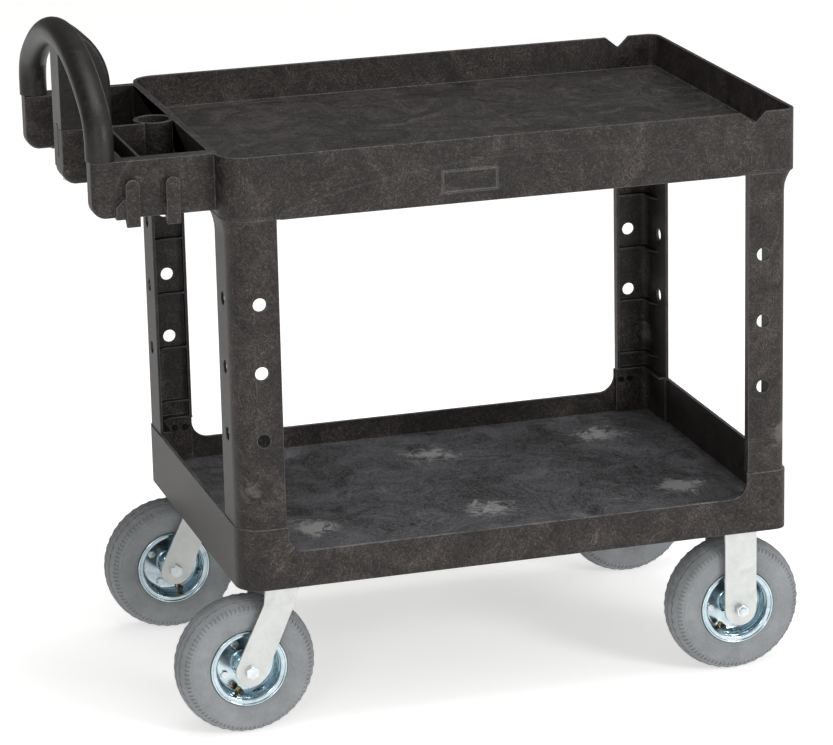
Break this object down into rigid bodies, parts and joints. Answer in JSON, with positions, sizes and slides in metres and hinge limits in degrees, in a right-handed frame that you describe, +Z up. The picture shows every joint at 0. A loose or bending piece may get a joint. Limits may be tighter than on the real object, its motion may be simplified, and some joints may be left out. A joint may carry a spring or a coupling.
{
  "type": "rolling utility cart",
  "caption": "Two-shelf moulded utility cart with a lipped tray, a tool caddy with a bottle holder, an arched push handle, angle legs and pneumatic casters.",
  "frame": {"origin": "on the floor under the middle of the cart's overall length and width", "axes": "+X from the handle end towards the front end, +Y to the pusher's left, +Z up"},
  "size_m": [1.1429, 0.637, 1.102],
  "materials": {
    "foam_plastic": "structural-foam moulding, satin, swirled",
    "handle_plastic": "moulded, fine grain",
    "tyre_rubber": "grey non-marking rubber",
    "tube_rubber": "smooth",
    "rim_zinc": "bright zinc plate",
    "fork_zinc": "dull zinc plate",
    "fastener_zinc": "zinc plate",
    "bearing_steel": "machined"
  },
  "bodies": {
    "cart": {"bottom_shelf": "foam_plastic", "caster_bolts": "fastener_zinc", "caster_inserts": "fastener_zinc", "handle": "handle_plastic", "handle_screws": "fastener_zinc", "kingpin_left": "fastener_zinc", "kingpin_right": "fastener_zinc", "leg_front_left": "foam_plastic", "leg_front_right": "foam_plastic", "leg_rear_left": "foam_plastic", "leg_rear_right": "foam_plastic", "leg_screws": "fastener_zinc", "rigid_axle_bolts": "fastener_zinc", "rigid_axle_nuts": "fastener_zinc", "rigid_axle_spacers": "fastener_zinc", "rigid_fork_left": "fork_zinc", "rigid_fork_right": "fork_zinc", "swivel_top_plate_left": "fork_zinc", "swivel_top_plate_right": "fork_zinc", "top_shelf": "foam_plastic"},
    "swivel_left": {"swivel_axle_bolt_left": "fastener_zinc", "swivel_axle_nut_left": "fastener_zinc", "swivel_axle_spacers_left": "fastener_zinc", "swivel_balls_left": "bearing_steel", "swivel_fork_left": "fork_zinc"},
    "wheel_rear_left": {"bearings_rear_left": "bearing_steel", "hub_rear_left": "bearing_steel", "inner_tube_rear_left": "tube_rubber", "rim_bolts_rear_left": "fastener_zinc", "rim_inner_rear_left": "rim_zinc", "rim_outer_rear_left": "rim_zinc", "tyre_rear_left": "tyre_rubber"},
    "wheel_front_left": {"bearings_front_left": "bearing_steel", "hub_front_left": "bearing_steel", "inner_tube_front_left": "tube_rubber", "rim_bolts_front_left": "fastener_zinc", "rim_inner_front_left": "rim_zinc", "rim_outer_front_left": "rim_zinc", "tyre_front_left": "tyre_rubber"},
    "swivel_right": {"swivel_axle_bolt_right": "fastener_zinc", "swivel_axle_nut_right": "fastener_zinc", "swivel_axle_spacers_right": "fastener_zinc", "swivel_balls_right": "bearing_steel", "swivel_fork_right": "fork_zinc"},
    "wheel_rear_right": {"bearings_rear_right": "bearing_steel", "hub_rear_right": "bearing_steel", "inner_tube_rear_right": "tube_rubber", "rim_bolts_rear_right": "fastener_zinc", "rim_inner_rear_right": "rim_zinc", "rim_outer_rear_right": "rim_zinc", "tyre_rear_right": "tyre_rubber"},
    "wheel_front_right": {"bearings_front_right": "bearing_steel", "hub_front_right": "bearing_steel", "inner_tube_front_right": "tube_rubber", "rim_bolts_front_right": "fastener_zinc", "rim_inner_front_right": "rim_zinc", "rim_outer_front_right": "rim_zinc", "tyre_front_right": "tyre_rubber"}
  },
  "joints": [
    {"name": "swivel_left_turn", "type": "hinge", "parent": "cart", "child": "swivel_left", "pos_m": [-0.2985, 0.2526, 0.241], "axis": [0, 0, 1], "continuous": true},
    {"name": "wheel_rear_left_spin", "type": "hinge", "parent": "swivel_left", "child": "wheel_rear_left", "pos_m": [-0.3565, 0.2526, 0.112], "axis": [0, 1, 0], "continuous": true},
    {"name": "wheel_front_left_spin", "type": "hinge", "parent": "cart", "child": "wheel_front_left", "pos_m": [0.4595, 0.2526, 0.112], "axis": [0, 1, 0], "continuous": true},
    {"name": "swivel_right_turn", "type": "hinge", "parent": "cart", "child": "swivel_right", "pos_m": [-0.2985, -0.2526, 0.241], "axis": [0, 0, 1], "continuous": true},
    {"name": "wheel_rear_right_spin", "type": "hinge", "parent": "swivel_right", "child": "wheel_rear_right", "pos_m": [-0.3565, -0.2526, 0.112], "axis": [0, 1, 0], "continuous": true},
    {"name": "wheel_front_right_spin", "type": "hinge", "parent": "cart", "child": "wheel_front_right", "pos_m": [0.4595, -0.2526, 0.112], "axis": [0, 1, 0], "continuous": true}
  ]
}
